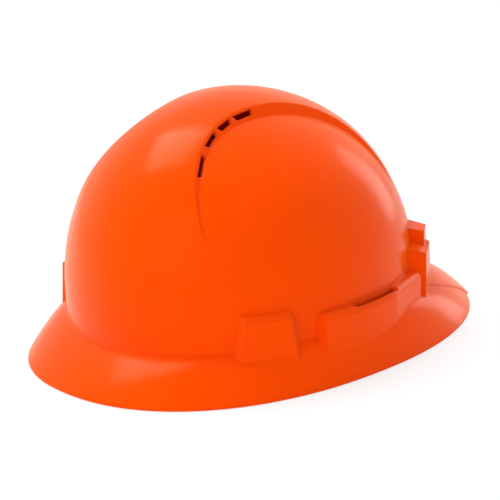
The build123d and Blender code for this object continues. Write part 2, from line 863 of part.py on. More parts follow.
def nape_arm(inner, outer):
    """The left arm: a strip from the headband's peg to its toothed window."""
    tooth_angle = degrees(tooth_pitch / ((inner + outer) / 2))
    tip_z = pitch_top_z - rack_addendum
    plain_z = nape_axis_z - pitch_radius - pinion_addendum - plain_gap
    slope = tan(radians(pressure_angle))
    gap_half = (tooth_pitch / 2 + backlash / 2) / 2
    tip_half = gap_half + rack_addendum * slope
    root_half = gap_half - rack_dedendum * slope
    end = nape_point((inner + outer) / 2, rack_end_angle)
    ahead = (cos(radians(rack_end_angle)), -sin(radians(rack_end_angle)))
    with BuildPart() as strip:
        add(nape_strip(inner, outer, -rack_tip_angle, rack_end_angle, rack_foot_z, rack_top_z))
        with BuildSketch(Plane.XY.offset(rack_foot_z)):
            with BuildLine():
                bend = [(end.X, end.Y), (arm_x, arm_y)]
                Spline(*bend, tangents=[ahead, (0, -1)], tangent_scalars=arm_bend_shares)
                Line((arm_x, arm_y), (arm_x, arm_y - arm_tip))
            trace(line_width=outer - inner)
        extrude(amount=rack_top_z - rack_foot_z)
        with BuildSketch(Plane.YZ):
            with Locations((arm_y, nape_axis_z)):
                Circle(arm_hole_radius)
        extrude(amount=dome_half_width, mode=Mode.SUBTRACT)
        near, far = inner - window_overrun, outer + window_overrun
        add(nape_strip(near, far, -window_tip_angle, window_end_angle, plain_z, tip_z), mode=Mode.SUBTRACT)
        first = -int(window_tip_angle / tooth_angle)
        last = int(window_end_angle / tooth_angle)
        for count in range(first, last + 1):
            with BuildSketch(nape_plane(count * tooth_angle, inner - fit_gap)):
                with BuildLine():
                    Polyline(
                        (-tip_half, tip_z - fit_gap),
                        (tip_half, tip_z - fit_gap),
                        (root_half, pitch_top_z + rack_dedendum),
                        (-root_half, pitch_top_z + rack_dedendum),
                        close=True,
                    )
                make_face()
            extrude(amount=outer - inner + 2 * fit_gap, mode=Mode.SUBTRACT)
    return strip.part


with BuildPart() as left_arm:
    add(nape_arm(outer_rack_inner, outer_rack_outer))

with BuildPart() as right_arm:
    add(nape_arm(inner_rack_inner, inner_rack_outer).rotate(Axis((0, 0, nape_axis_z), (0, 1, 0)), 180))

base_radius = pitch_radius * cos(radians(pressure_angle))
tip_radius = pitch_radius + pinion_addendum
root_radius = pitch_radius - pinion_dedendum
pitch_half_angle = (tooth_pitch / 2 - backlash / 2) / 2 / pitch_radius
pitch_roll = tan(radians(pressure_angle)) - radians(pressure_angle)


def tooth_side(radius):
    """A point of the tooth's involute side, from the tooth's middle line."""
    lean = sqrt((radius / base_radius) ** 2 - 1)
    angle = pitch_half_angle + pitch_roll - (lean - atan(lean))
    return (radius * sin(angle), radius * cos(angle))


pinion_front_y = nape_y + cover_outer + soft_gap
pinion_rear_y = nape_y + housing_inner - soft_gap
shaft_end_y = knob_y + knob_length - knob_dish_depth - knob_screw_head - knob_screw_land

with BuildPart() as pinion:
    tooth_steps = 5
    radii = [base_radius + (tip_radius - base_radius) * i / tooth_steps for i in range(tooth_steps + 1)]
    right_side = [tooth_side(radius) for radius in radii]
    left_side = [(-x, y) for x, y in reversed(right_side)]
    with BuildSketch(Plane.XZ.offset(-pinion_rear_y)):
        with Locations((0, nape_axis_z)):
            Circle(root_radius)
            with PolarLocations(0, pinion_teeth, start_angle=0):
                with BuildSketch(mode=Mode.PRIVATE) as tooth:
                    with BuildLine():
                        foot_x = right_side[0][0]
                        Line((-foot_x, 0), (foot_x, 0))
                        Line((foot_x, 0), right_side[0])
                        Spline(*right_side)
                        Line(right_side[-1], left_side[0])
                        Spline(*left_side)
                        Line(left_side[-1], (-foot_x, 0))
                    make_face()
                add(tooth.sketch)
    extrude(amount=pinion_rear_y - pinion_front_y)
    with BuildSketch(Plane.XZ.offset(-pinion_rear_y)):
        with Locations((0, nape_axis_z)):
            Circle(shaft_radius)
    extrude(amount=-(boss_y + click_thickness - pinion_rear_y))
    with BuildSketch(Plane.XZ.offset(-boss_y)):
        with Locations((0, nape_axis_z)):
            Rectangle(drive_square, drive_square)
    extrude(amount=-(shaft_end_y - boss_y))
    with BuildSketch(Plane.XZ.offset(-pinion_front_y)):
        with Locations((0, nape_axis_z)):
            Circle(stub_radius)
    extrude(amount=cover_outer - cover_inner)
    with BuildSketch(Plane.XZ.offset(-shaft_end_y)):
        with Locations((0, nape_axis_z)):
            Circle(knob_screw_radius + fit_gap)
    extrude(amount=knob_screw_length, mode=Mode.SUBTRACT)


# Knob, click ring and spring

knob_end_y = knob_y + knob_length
knob_floor_y = knob_y + knob_cavity_depth

with BuildPart() as knob:
    with BuildSketch(Plane.XZ.offset(-knob_y)):
        with Locations((0, nape_axis_z)):
            Circle(knob_radius)
            with PolarLocations(knob_radius, knob_flutes):
                Circle(knob_flute_radius, mode=Mode.SUBTRACT)
    extrude(amount=-knob_length)
    with BuildSketch(Plane.XZ.offset(-knob_y)):
        with Locations((0, nape_axis_z)):
            Circle(knob_cavity_radius)
    extrude(amount=-knob_cavity_depth, mode=Mode.SUBTRACT)
    with BuildSketch(Plane.XZ.offset(-knob_end_y)):
        with Locations((0, nape_axis_z)):
            Circle(knob_dish_radius)
    extrude(amount=knob_dish_depth, taper=pressure_angle, mode=Mode.SUBTRACT)
    with BuildSketch(Plane.XZ.offset(-knob_floor_y)):
        with Locations((0, nape_axis_z)):
            Rectangle(drive_square + 2 * fit_gap, drive_square + 2 * fit_gap)
    extrude(amount=-(shaft_end_y + fit_gap - knob_floor_y), mode=Mode.SUBTRACT)
    with BuildSketch(Plane.XZ.offset(-knob_end_y)):
        with Locations((0, nape_axis_z)):
            Circle(knob_screw_radius + slide_gap)
    extrude(amount=overrun, both=True, mode=Mode.SUBTRACT)

with BuildPart() as knob_screw:
    seat_y = knob_end_y - knob_dish_depth
    with BuildSketch(Plane.XZ.offset(-seat_y)):
        with Locations((0, nape_axis_z)):
            Circle(knob_screw_head_radius)
    extrude(amount=-knob_screw_head)
    with BuildSketch(Plane.XZ.offset(-seat_y)):
        with Locations((0, nape_axis_z)):
            Circle(knob_screw_radius)
    extrude(amount=knob_screw_length)
    with BuildSketch(Plane.XZ.offset(-seat_y - knob_screw_head)):
        with Locations((0, nape_axis_z)):
            Rectangle(knob_screw_radius / 2, 3 * knob_screw_radius)
            Rectangle(3 * knob_screw_radius, knob_screw_radius / 2)
    extrude(amount=knob_screw_head / 2, mode=Mode.SUBTRACT)

with BuildPart() as detent_ring:
    with BuildSketch(Plane.XZ.offset(-boss_y)):
        with Locations((0, nape_axis_z)):
            Circle(click_radius)
            Circle(click_bore_radius, mode=Mode.SUBTRACT)
            with PolarLocations(click_radius + click_notch_sink, click_notches):
                Circle(click_notch_radius, mode=Mode.SUBTRACT)
    extrude(amount=-click_thickness)

with BuildPart() as click_spring:
    nub_reach = click_radius + slide_gap + spring_nub_radius
    with BuildSketch(Plane.XZ.offset(-boss_y - slide_gap)):
        with Locations((0, nape_axis_z)):
            Circle(spring_outer_radius)
            Circle(spring_outer_radius - spring_thickness, mode=Mode.SUBTRACT)
            with PolarLocations(nub_reach, spring_nubs):
                Circle(spring_nub_radius)
    extrude(amount=-spring_height)


# Snap pegs for the arms

peg_outer_x = band_half_width + band_thickness / 2 + fit_gap
peg_inner_x = arm_x - rack_thickness / 2 - arm_swing_gap

with BuildPart() as side_pegs:
    with BuildSketch(Plane.YZ.offset(peg_inner_x)):
        with Locations((arm_y, nape_axis_z)):
            Circle(peg_head_radius)
    extrude(amount=-peg_head_thickness)
    with BuildSketch(Plane.YZ.offset(peg_inner_x)):
        with Locations((arm_y, nape_axis_z)):
            Circle(peg_radius)
    extrude(amount=peg_outer_x - peg_inner_x)
    with BuildSketch(Plane.YZ.offset(peg_outer_x)):
        with Locations((arm_y, nape_axis_z)):
            Circle(peg_head_radius)
    extrude(amount=peg_head_thickness)
    mirror(about=Plane.YZ)


# Hand out the pieces

os.makedirs("parts", exist_ok=True)

shell.part.label = "shell"
export_step(shell.part, "parts/shell.step")
front_left_key.part.label = "front_left_key"
export_step(front_left_key.part, "parts/front_left_key.step")
front_right_key.part.label = "front_right_key"
export_step(front_right_key.part, "parts/front_right_key.step")
rear_left_key.part.label = "rear_left_key"
export_step(rear_left_key.part, "parts/rear_left_key.step")
rear_right_key.part.label = "rear_right_key"
export_step(rear_right_key.part, "parts/rear_right_key.step")
crown_strap_a.part.label = "crown_strap_a"
export_step(crown_strap_a.part, "parts/crown_strap_a.step")
crown_strap_b.part.label = "crown_strap_b"
export_step(crown_strap_b.part, "parts/crown_strap_b.step")
crown_pad.part.label = "crown_pad"
export_step(crown_pad.part, "parts/crown_pad.step")
headband.part.label = "headband"
export_step(headband.part, "parts/headband.step")
brow_pad.part.label = "brow_pad"
export_step(brow_pad.part, "parts/brow_pad.step")
side_pegs.part.label = "side_pegs"
export_step(side_pegs.part, "parts/side_pegs.step")
left_arm.part.label = "left_arm"
export_step(left_arm.part, "parts/left_arm.step")
right_arm.part.label = "right_arm"
export_step(right_arm.part, "parts/right_arm.step")
ratchet_housing.part.label = "ratchet_housing"
export_step(ratchet_housing.part, "parts/ratchet_housing.step")
housing_cover.part.label = "housing_cover"
export_step(housing_cover.part, "parts/housing_cover.step")
housing_screws.part.label = "housing_screws"
export_step(housing_screws.part, "parts/housing_screws.step")
pinion.part.label = "pinion"
export_step(pinion.part, "parts/pinion.step")
knob.part.label = "knob"
export_step(knob.part, "parts/knob.step")
knob_screw.part.label = "knob_screw"
export_step(knob_screw.part, "parts/knob_screw.step")
detent_ring.part.label = "detent_ring"
export_step(detent_ring.part, "parts/detent_ring.step")
click_spring.part.label = "click_spring"
export_step(click_spring.part, "parts/click_spring.step")
nape_pad.part.label = "nape_pad"
export_step(nape_pad.part, "parts/nape_pad.step")
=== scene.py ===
# %% [markdown]
# # A full brim safety helmet
# The hat is one glossy orange moulding with a suspension of straps, a headband and a
# ratchet inside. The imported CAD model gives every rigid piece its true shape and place,
# so the first step loads it as a fixed frame. Blender adds the finishes, the woven and
# padded pieces, the light and the camera.

# %% Load the frame
import bmesh
import bpy
from math import asin, cos, hypot, pi, radians, sin, sqrt
from mathutils import Matrix, Vector


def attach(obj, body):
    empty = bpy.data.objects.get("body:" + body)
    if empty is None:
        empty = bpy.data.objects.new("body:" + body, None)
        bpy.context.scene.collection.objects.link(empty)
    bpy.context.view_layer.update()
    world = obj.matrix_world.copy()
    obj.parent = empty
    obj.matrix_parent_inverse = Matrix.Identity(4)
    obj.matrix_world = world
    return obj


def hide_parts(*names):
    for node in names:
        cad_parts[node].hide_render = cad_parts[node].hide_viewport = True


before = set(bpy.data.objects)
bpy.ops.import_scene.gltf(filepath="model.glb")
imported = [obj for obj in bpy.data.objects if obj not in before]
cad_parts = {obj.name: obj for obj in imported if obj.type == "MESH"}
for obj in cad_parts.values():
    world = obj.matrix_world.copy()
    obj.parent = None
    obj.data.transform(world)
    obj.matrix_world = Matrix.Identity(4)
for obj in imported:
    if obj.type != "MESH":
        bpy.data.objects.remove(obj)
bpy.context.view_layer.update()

MM = 0.001

# %% [markdown]
# ## Colour and node helpers
# Colours are easiest to read as the hex values that a screen shows. Blender mixes light
# in linear values, so one function turns the one into the other. A second small function
# adds a shader node with its settings and links, which keeps each material short.

# %% Colour and node helpers
def paint(hex_colour, alpha=1.0):
    """An sRGB hex colour as linear values."""
    channels = [int(hex_colour[i:i + 2], 16) / 255 for i in (1, 3, 5)]
    linear = [c / 12.92 if c <= 0.04045 else ((c + 0.055) / 1.055) ** 2.4 for c in channels]
    return (*linear, alpha)


def put(material, kind, settings=None, links=None):
    """Adds a shader node, sets its sockets or attributes, and links its inputs."""
    node = material.node_tree.nodes.new(kind)
    for name, value in (settings or {}).items():
        if name in node.inputs:
            node.inputs[name].default_value = value
        else:
            setattr(node, name, value)
    for name, source in (links or {}).items():
        material.node_tree.links.new(source, node.inputs[name])
    return node


def maths(material, operation, *terms):
    """A sum on shader values; each term is a number or another node's output."""
    node = put(material, "ShaderNodeMath", {"operation": operation})
    for socket, term in zip(node.inputs, terms):
        if isinstance(term, (int, float)):
            socket.default_value = term
        else:
            material.node_tree.links.new(term, socket)
    return node.outputs["Value"]


def two_tone(material, share, low_hex, high_hex):
    """A colour between two tints, by a shader value."""
    mix = put(material, "ShaderNodeMix", {"data_type": "RGBA"}, {"Factor": share})
    colours = [socket for socket in mix.inputs if socket.type == "RGBA"]
    colours[0].default_value = paint(low_hex)
    colours[1].default_value = paint(high_hex)
    return next(socket for socket in mix.outputs if socket.type == "RGBA")


def finish_named(name):
    """An empty material with a surface shader and its output."""
    material = bpy.data.materials.new(name)
    material.use_nodes = True
    material.node_tree.nodes.clear()
    surface = put(material, "ShaderNodeBsdfPrincipled")
    put(material, "ShaderNodeOutputMaterial", links={"Surface": surface.outputs["BSDF"]})
    return material, surface


# %% [markdown]
# ## Camera
# The photo looks at the hat's front left corner from a little above, through a long lens,
# so the brim's ellipse is shallow and the sides hardly converge. Position and turn come
# from a fit of the hat's outline, so the camera is set by its three axes.

# %% Camera
camera_data = bpy.data.cameras.new("studio_camera")
sensor_width, focal_length = 36.0, 160.97
camera_place = Vector((1010.9, -933.7, 510.1))
camera_data.sensor_width = sensor_width
camera_data.lens = focal_length
camera = bpy.data.objects.new("studio_camera", camera_data)
bpy.context.scene.collection.objects.link(camera)
camera_right = Vector((0.6864, 0.7264, -0.0357)).normalized()
camera_back = Vector((0.6975, -0.6436, 0.3152)).normalized()
camera_up = camera_back.cross(camera_right)
turn = Matrix((camera_right, camera_up, camera_back)).transposed().to_4x4()
camera.matrix_world = Matrix.Translation(camera_place * MM) @ turn
bpy.context.scene.camera = camera
print("camera at", tuple(round(x, 3) for x in camera.location))

# %% [markdown]
# ## Studio
# A product table is a white sheet that runs out of view. The floor is wide and white, and
# the world behind it is white for the camera and for reflections, which gives glossy
# plastic its pale rim. The light that falls on the hat itself is softer and plainer.

# %% Studio floor and world
paper_roughness, paper_fibre, paper_relief = 0.9, 1.11, 0.2
paper_light_share = 0.7
floor_reach, floor_drop = 12.0, 0.3
white = (1, 1, 1, 1)
floor_finish, floor_surface = finish_named("matt_white_paper")
floor_surface.inputs["Base Color"].default_value = paint("#F4F4F4")
floor_surface.inputs["Roughness"].default_value = paper_roughness
grain = put(floor_finish, "ShaderNodeTexNoise", {"Scale": 1 / (paper_fibre * MM), "Detail": 2.0})
paper_bump = put(floor_finish, "ShaderNodeBump", {"Strength": 0.02, "Distance": paper_relief * MM},
                 {"Height": grain.outputs["Fac"]})
floor_finish.node_tree.links.new(paper_bump.outputs["Normal"], floor_surface.inputs["Normal"])
floor_mesh = bpy.data.meshes.new("studio_floor")
floor_corners = [(floor_reach * x, floor_reach * y, 0) for x, y in ((-1, -1), (1, -1), (1, 1), (-1, 1))]
floor_mesh.from_pydata(floor_corners, [], [(0, 1, 2, 3)])
studio_floor = bpy.data.objects.new("studio_floor", floor_mesh)
bpy.context.scene.collection.objects.link(studio_floor)
studio_floor.data.materials.append(floor_finish)
studio_floor.location.z = -floor_drop * MM

# The floor's lit colour falls short of white, so rays from the camera see it as a plain
# white light mixed in, while its shadow stays.
paper_glow = put(floor_finish, "ShaderNodeEmission", {"Color": white, "Strength": 1.0})
paper_rays = put(floor_finish, "ShaderNodeLightPath")
paper_share = maths(floor_finish, "MULTIPLY", paper_rays.outputs["Is Camera Ray"],
                    paper_light_share)
paper_mix = put(floor_finish, "ShaderNodeMixShader", links={"Fac": paper_share})
floor_finish.node_tree.links.new(floor_surface.outputs["BSDF"], paper_mix.inputs[1])
floor_finish.node_tree.links.new(paper_glow.outputs["Emission"], paper_mix.inputs[2])
paper_output = floor_finish.node_tree.get_output_node("ALL")
floor_finish.node_tree.links.new(paper_mix.outputs["Shader"], paper_output.inputs["Surface"])

soft_light, shown_light = 0.7, 1.0
world = bpy.data.worlds.new("white_studio")
bpy.context.scene.world = world
world.use_nodes = True
world.node_tree.nodes.clear()
soft_sky = put(world, "ShaderNodeBackground", {"Color": white, "Strength": soft_light})
white_sky = put(world, "ShaderNodeBackground", {"Color": white, "Strength": shown_light})
rays = put(world, "ShaderNodeLightPath")
seen = maths(world, "MAXIMUM", rays.outputs["Is Camera Ray"], rays.outputs["Is Glossy Ray"])
seen = maths(world, "MAXIMUM", seen, rays.outputs["Is Transmission Ray"])
sky = put(world, "ShaderNodeMixShader", links={"Fac": seen})
world.node_tree.links.new(soft_sky.outputs[0], sky.inputs[1])
world.node_tree.links.new(white_sky.outputs[0], sky.inputs[2])
put(world, "ShaderNodeOutputWorld", links={"Surface": sky.outputs[0]})
bpy.context.scene.view_settings.view_transform = "Standard"
print("floor and world", floor_finish.name, world.name)

# %% [markdown]
# ## Softboxes
# Large lamps make the wide, soft-edged highlights of studio photos. Each lamp is aimed at
# the middle of the hat. Its direction was worked out by mirroring the camera's line of
# sight in the dome where the photo shows a highlight.

# %% Softboxes
hat_middle = Vector((0, 0, 0.08))


def softbox(name, direction, distance, width, height, power):
    """An area lamp out along a direction, facing the hat."""
    lamp_data = bpy.data.lights.new(name, "AREA")
    lamp_data.shape = "RECTANGLE"
    lamp_data.size = width
    lamp_data.size_y = height
    lamp_data.energy = power
    lamp = bpy.data.objects.new(name, lamp_data)
    bpy.context.scene.collection.objects.link(lamp)
    out = Vector(direction).normalized()
    lamp.location = hat_middle + out * distance
    lamp.rotation_euler = out.to_track_quat("Z", "Y").to_euler()
    return lamp


# Name, direction, then distance, width and height in metres, and power in watts
softbox_rows = (("overhead_softbox", (-0.42, -0.16, 0.9), 1.5, 0.8, 0.7, 17.0),
                ("front_softbox", (0.35, -1.0, 0.45), 1.8, 1.2, 1.2, 7.5),
                ("rear_strip", (0.02, 1.0, 0.12), 1.5, 0.4, 1.1, 4.5))
print("lamps", [softbox(*row).name for row in softbox_rows])

# %% [markdown]
# ## The shell's plastic
# The shell is high density polyethylene, injection moulded in a polished tool. That gives
# a strong even colour, a clear but slightly waxy gloss, and a faint unevenness where the
# plastic shrank. Its edges are never razor sharp, so the shader rounds the light on them.

# %% Glossy orange polyethylene
polyethylene_ior, polished_roughness, polished_specular = 1.51, 0.2, 0.16
rim_sheen, rim_sheen_roughness = 0.5, 0.5
pigment_pitch, flow_pitch, flow_depth, edge_radius = 111.1, 12.5, 0.05, 2.2
wall_glow_share = 0.12
orange_shell, surface = finish_named("orange_polyethylene_moulded")
surface.inputs["IOR"].default_value = polyethylene_ior
surface.inputs["Roughness"].default_value = polished_roughness
# The waxy skin scatters light just under its gloss, so its reflections are weaker and more
# orange than those of clear plastic, and a soft orange sheen shows along the rim.
surface.inputs["Specular IOR Level"].default_value = polished_specular
surface.inputs["Specular Tint"].default_value = paint("#FF9A50")
surface.inputs["Sheen Weight"].default_value = rim_sheen
surface.inputs["Sheen Roughness"].default_value = rim_sheen_roughness
surface.inputs["Sheen Tint"].default_value = paint("#FF9430")
place = put(orange_shell, "ShaderNodeTexCoord")
pigment = put(orange_shell, "ShaderNodeTexNoise", {"Scale": 1 / (pigment_pitch * MM), "Detail": 3.0},
              {"Vector": place.outputs["Object"]})
orange = two_tone(orange_shell, pigment.outputs["Fac"], "#FC4700", "#FF4D00")
orange_shell.node_tree.links.new(orange, surface.inputs["Base Color"])
soft_edge = put(orange_shell, "ShaderNodeBevel", {"samples": 6, "Radius": edge_radius * MM})
# Sink and flow marks are about 12 mm apart and a few hundredths of a millimetre deep.
flow = put(orange_shell, "ShaderNodeTexNoise", {"Scale": 1 / (flow_pitch * MM), "Detail": 1.0},
           {"Vector": place.outputs["Object"]})
shell_bump = put(orange_shell, "ShaderNodeBump", {"Strength": 0.05, "Distance": flow_depth * MM},
                 {"Height": flow.outputs["Fac"], "Normal": soft_edge.outputs["Normal"]})
orange_shell.node_tree.links.new(shell_bump.outputs["Normal"], surface.inputs["Normal"])
# Two and a half millimetres of this plastic let some light through, which is why the
# vents look deep red and not black.
through = put(orange_shell, "ShaderNodeBsdfTranslucent", {"Color": paint("#FF6A20")})
wall_mix = put(orange_shell, "ShaderNodeMixShader", {"Fac": wall_glow_share})
orange_shell.node_tree.links.new(surface.outputs["BSDF"], wall_mix.inputs[1])
orange_shell.node_tree.links.new(through.outputs["BSDF"], wall_mix.inputs[2])
shell_output = orange_shell.node_tree.get_output_node("ALL")
orange_shell.node_tree.links.new(wall_mix.outputs["Shader"], shell_output.inputs["Surface"])
print("material", orange_shell.name)


def dress(node_names, material):
    """Gives CAD nodes a finish."""
    for name in node_names:
        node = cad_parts[name]
        node.data.materials.clear()
        node.data.materials.append(material)


dress(["shell"], orange_shell)

# %% [markdown]
# ## Moulded plastics inside
# The keys, band, housing and knob are nylon and polyethylene in black. Their tools are
# spark eroded, which leaves a fine dull grain of about a third of a millimetre, drawn a
# little coarser here so that it shows. The gear and the click ring are natural acetal.

# %% Grained black plastics
grain_dulling, grain_relief = 0.12, 0.05
plastic_ior, moulded_edge = 1.53, 0.35


def grained_plastic(name, low_hex, high_hex, roughness, grain_mm, depth):
    """A moulded plastic with a spark eroded grain of a real size; depth scales its relief."""
    plastic, skin = finish_named(name)
    skin.inputs["IOR"].default_value = plastic_ior
    spot = put(plastic, "ShaderNodeTexCoord")
    grains = put(plastic, "ShaderNodeTexNoise", {"Scale": 1 / (grain_mm * MM), "Detail": 2.0},
                 {"Vector": spot.outputs["Object"]})
    tint = two_tone(plastic, grains.outputs["Fac"], low_hex, high_hex)
    plastic.node_tree.links.new(tint, skin.inputs["Base Color"])
    dull_range = {"To Min": roughness, "To Max": roughness + grain_dulling}
    dull = put(plastic, "ShaderNodeMapRange", dull_range, {"Value": grains.outputs["Fac"]})
    plastic.node_tree.links.new(dull.outputs["Result"], skin.inputs["Roughness"])
    rounded = put(plastic, "ShaderNodeBevel", {"samples": 4, "Radius": moulded_edge * MM})
    relief = put(plastic, "ShaderNodeBump", {"Strength": depth, "Distance": grain_relief * MM},
                 {"Height": grains.outputs["Fac"], "Normal": rounded.outputs["Normal"]})
    plastic.node_tree.links.new(relief.outputs["Normal"], skin.inputs["Normal"])
    return plastic


nylon_keys = grained_plastic("black_nylon_keys", "#1C1C1E", "#26262A", 0.4, 0.6, 0.25)
band_poly = grained_plastic("black_polyethylene_band", "#18181A", "#202024", 0.33, 0.9, 0.15)
housing_grain = grained_plastic("black_abs_housing", "#1A1A1C", "#242428", 0.45, 0.5, 0.4)
knob_grain = grained_plastic("black_abs_knob", "#141416", "#1C1C20", 0.37, 0.5, 0.3)
natural_acetal = grained_plastic("natural_acetal_gear", "#D6D4C8", "#E4E2D8", 0.25, 1.2, 0.08)
dress(["front_left_key", "front_right_key", "rear_left_key", "rear_right_key"], nylon_keys)
dress(["side_pegs"], nylon_keys)
dress(["headband", "left_arm", "right_arm"], band_poly)
dress(["ratchet_housing", "housing_cover"], housing_grain)
dress(["knob"], knob_grain)
dress(["pinion", "detent_ring"], natural_acetal)
print("grained plastics", nylon_keys.name, band_poly.name, natural_acetal.name)

# %% [markdown]
# ## Zinc plated steel
# Small screws and the click spring are steel with a thin bright zinc coat. Turning and
# rolling leave fine lines, so the roughness changes a little along them.

# %% Zinc plated steel
turning_pitch = 0.4
line_roughness = {"To Min": 0.25, "To Max": 0.4}
zinc_steel, metal = finish_named("zinc_plated_steel")
metal.inputs["Metallic"].default_value = 1.0
spot = put(zinc_steel, "ShaderNodeTexCoord")
turning = put(zinc_steel, "ShaderNodeTexNoise", {"Scale": 1 / (turning_pitch * MM), "Detail": 2.0},
              {"Vector": spot.outputs["Object"]})
coat = two_tone(zinc_steel, turning.outputs["Fac"], "#B9BCC0", "#D3D5D6")
zinc_steel.node_tree.links.new(coat, metal.inputs["Base Color"])
sheen_lines = put(zinc_steel, "ShaderNodeMapRange", line_roughness, {"Value": turning.outputs["Fac"]})
zinc_steel.node_tree.links.new(sheen_lines.outputs["Result"], metal.inputs["Roughness"])
dress(["housing_screws", "knob_screw", "click_spring"], zinc_steel)
print("material", zinc_steel.name)

# %% [markdown]
# ## Crown straps
# Each strap is 20 mm polyester webbing, 1.2 mm thick. It rises from a bar on one key over
# the crown to the bar opposite, and each end turns round its bar and is sewn back onto
# itself. A flat section swept along that path follows it exactly, which a cloth
# simulation would only blur.

# %% Webbing path and weave
bar_height = 36.0
strap_half_span = 102.37
webbing_width, webbing_thickness = 20.0, 1.2
loop_middle = 2.4
loop_half_gap = 12
neck_height = 7.0
tail_length = 16.0
tail_gap = 1.62
arch_steps, loop_steps, tail_steps, edge_steps = 96, 16, 8, 8
selvedge_share, selvedge_power, weave_fullness = 0.12, 8, 0.8


def strap_path(crown):
    """(along, up) points in millimetres from the sewn tail round one bar to the other."""
    rise = crown - bar_height
    arch = []
    start = asin(neck_height / rise)
    for i in range(arch_steps + 1):
        angle = start + (pi - 2 * start) * i / arch_steps
        arch.append((strap_half_span * cos(angle), rise * sin(angle)))
    loop = []
    for i in range(loop_steps + 1):
        angle = radians(180 + loop_half_gap) + radians(180 - 2 * loop_half_gap) * i / loop_steps
        loop.append((strap_half_span + loop_middle * cos(angle), loop_middle * sin(angle)))
    tail = []
    for i in range(tail_steps + 1):
        up = neck_height + tail_length * (1 - i / tail_steps)
        lean = strap_half_span * sqrt(1 - (up / rise) ** 2)
        tail.append((lean - tail_gap, up))
    right_end = tail + loop
    left_end = [(-x, z) for x, z in reversed(right_end)]
    return right_end + arch + left_end


def strap_mesh(name, middle, along, crown):
    """A webbing strap with rounded selvedges, swept along its path."""
    path = strap_path(crown)
    across = Vector((along.y, -along.x, 0))
    section = []
    for i in range(edge_steps + 1):
        share = 2 * i / edge_steps - 1
        section.append((share, sqrt(1 - abs(share) ** selvedge_power) / 2 + selvedge_share))
    ring = section + [(s, -t) for s, t in reversed(section)]
    verts, faces, length = [], [], [0.0]
    for i, (x, z) in enumerate(path):
        before, after = path[max(i - 1, 0)], path[min(i + 1, len(path) - 1)]
        run = Vector((after[0] - before[0], after[1] - before[1])).normalized()
        normal = Vector((run.y, -run.x))
        if i:
            length.append(length[-1] + hypot(x - path[i - 1][0], z - path[i - 1][1]))
        for s, t in ring:
            px = x + normal.x * t * webbing_thickness * weave_fullness
            pz = z + normal.y * t * webbing_thickness * weave_fullness
            point = middle + along * px + Vector((0, 0, pz)) + across * (s * webbing_width / 2)
            verts.append(point * MM)
    count = len(ring)
    for i in range(len(path) - 1):
        for j in range(count):
            k = (j + 1) % count
            faces.append((i * count + j, i * count + k, (i + 1) * count + k, (i + 1) * count + j))
    faces.append(tuple(reversed(range(count))))
    faces.append(tuple((len(path) - 1) * count + j for j in range(count)))
    mesh = bpy.data.meshes.new(name)
    mesh.from_pydata(verts, [], faces)
    weave_map = mesh.uv_layers.new(name="weave")
    for face in mesh.polygons:
        for corner in face.loop_indices:
            vertex = mesh.loops[corner].vertex_index
            i, j = divmod(vertex, count)
            weave_map.data[corner].uv = (ring[j][0] * webbing_width / 2, length[i])
    mesh.shade_smooth()
    strap = bpy.data.objects.new(name, mesh)
    bpy.context.scene.collection.objects.link(strap)
    return strap, length[-1]


# Plain woven webbing: warp ribs 1.1 mm apart run along it, weft floats 0.9 mm apart cross
# them, and a denser selvedge closes each edge.
warp_pitch, weft_pitch, thread_relief = 1.1, 0.9, 0.2
yarn_roughness, yarn_sheen, yarn_sheen_roughness = 0.75, 0.35, 0.4
polyester_webbing, yarn = finish_named("woven_polyester_webbing")
yarn.inputs["Roughness"].default_value = yarn_roughness
yarn.inputs["Sheen Weight"].default_value = yarn_sheen
yarn.inputs["Sheen Roughness"].default_value = yarn_sheen_roughness
thread_map = put(polyester_webbing, "ShaderNodeUVMap", {"uv_map": "weave"})
split = put(polyester_webbing, "ShaderNodeSeparateXYZ", links={"Vector": thread_map.outputs["UV"]})
warp_turn = maths(polyester_webbing, "MULTIPLY", split.outputs["X"], 2 * pi / warp_pitch)
weft_turn = maths(polyester_webbing, "MULTIPLY", split.outputs["Y"], 2 * pi / weft_pitch)
warp, weft = maths(polyester_webbing, "SINE", warp_turn), maths(polyester_webbing, "SINE", weft_turn)
weave = maths(polyester_webbing, "MULTIPLY", warp, weft)
weave_height = put(polyester_webbing, "ShaderNodeMapRange", {"From Min": -1.0, "From Max": 1.0},
                   {"Value": weave})
# The weave's colour follows its height. The thread crowns are painted lighter and the hollows between
# threads are painted darker, as painted shade.
weave_colour_with_painted_shade = two_tone(polyester_webbing, weave_height.outputs["Result"], "#151517", "#34343A")
polyester_webbing.node_tree.links.new(weave_colour_with_painted_shade, yarn.inputs["Base Color"])
weave_relief = put(polyester_webbing, "ShaderNodeBump", {"Strength": 0.6, "Distance": thread_relief * MM},
                   {"Height": weave_height.outputs["Result"]})
polyester_webbing.node_tree.links.new(weave_relief.outputs["Normal"], yarn.inputs["Normal"])

# %% Place the straps
# Each row gives the node, the side that it starts on, its crown height and its two keys.
strap_middle = Vector((3.97, 0.43, bar_height))
strap_along = Vector((-0.7495, 0.662, 0)).normalized()
strap_rows = (("crown_strap_a", 1, 128.0, ["front_left_key", "rear_right_key"]),
              ("crown_strap_b", -1, 132.2, ["front_right_key", "rear_left_key"]))
for name, side, crown, strap_keys in strap_rows:
    middle = Vector((side * strap_middle.x, strap_middle.y, strap_middle.z))
    along = Vector((side * strap_along.x, strap_along.y, 0))
    strap, strap_length = strap_mesh("webbing_" + name[-1], middle, along, crown)
    strap.data.materials.append(polyester_webbing)
    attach(strap, "hat")
    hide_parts(name)
    print(name, "webbing length", round(strap_length), "mm")

# %% [markdown]
# ## Padded pieces
# The brow pad, crown pad and nape pad are foam under knitted cloth, welded round the rim
# and quilted with sewn channels. Foam pads swell between their seams, so each is built as
# a closed form whose front face rises to its full thickness away from rim and channels.
# A function that maps (across, along, depth) to a place lets one builder make all three.

